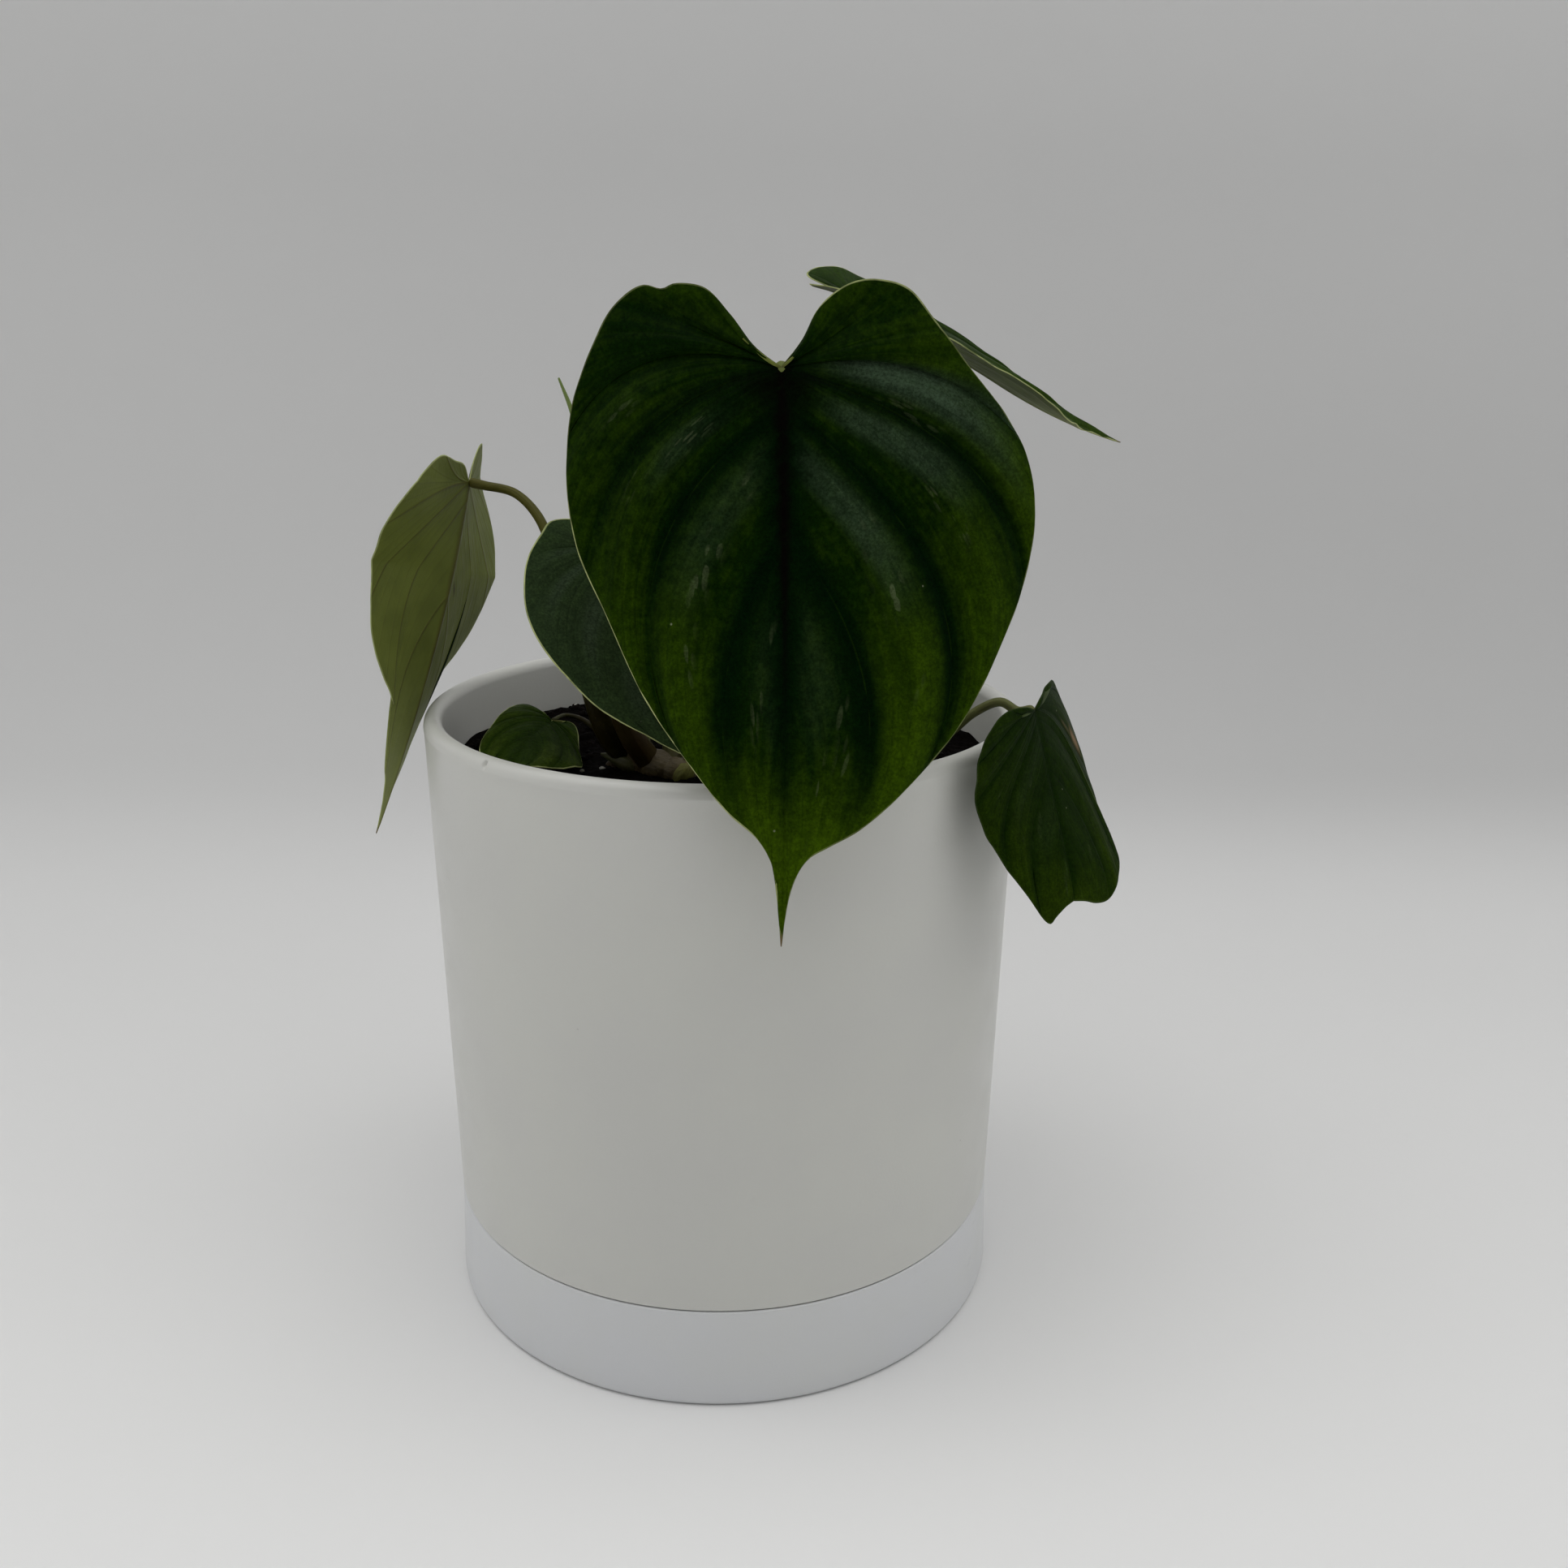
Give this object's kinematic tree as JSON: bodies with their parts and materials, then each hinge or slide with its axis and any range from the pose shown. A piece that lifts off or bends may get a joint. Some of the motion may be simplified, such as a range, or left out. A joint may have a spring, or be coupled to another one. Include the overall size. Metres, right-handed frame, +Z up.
{
  "type": "potted philodendron plowmanii",
  "caption": "Young philodendron with heart-shaped quilted leaves on slender stalks, growing in soil in a white tapered round planter that sits in its matching saucer.",
  "frame": {"origin": "centre of the saucer's flat underside", "axes": "+Z up along the pot's axis; -Y towards the side that the largest leaf faces"},
  "size_m": [0.1969, 0.1679, 0.2631],
  "materials": {
    "planter_plastic": "satin white, moulded",
    "saucer_plastic": "satin white, moulded, a little cooler",
    "soil": "moist dark potting mix with perlite",
    "stem": "smooth creeping stem with leaf scars",
    "petiole": "smooth olive to green stalk",
    "leaf": "velvety dark green with a silver sheen and a cream margin",
    "new_leaf": "smooth light green, rolled"
  },
  "bodies": {
    "root": {"planter": "planter_plastic", "saucer": "saucer_plastic", "soil": "soil", "stem": "stem", "petiole_front": "petiole", "petiole_left": "petiole", "petiole_middle": "petiole", "petiole_low": "petiole", "petiole_right": "petiole", "petiole_back": "petiole", "blade_front": "leaf", "blade_left": "leaf", "blade_middle": "leaf", "blade_low": "leaf", "blade_right": "leaf", "blade_back": "leaf", "new_leaf": "new_leaf"}
  },
  "joints": []
}
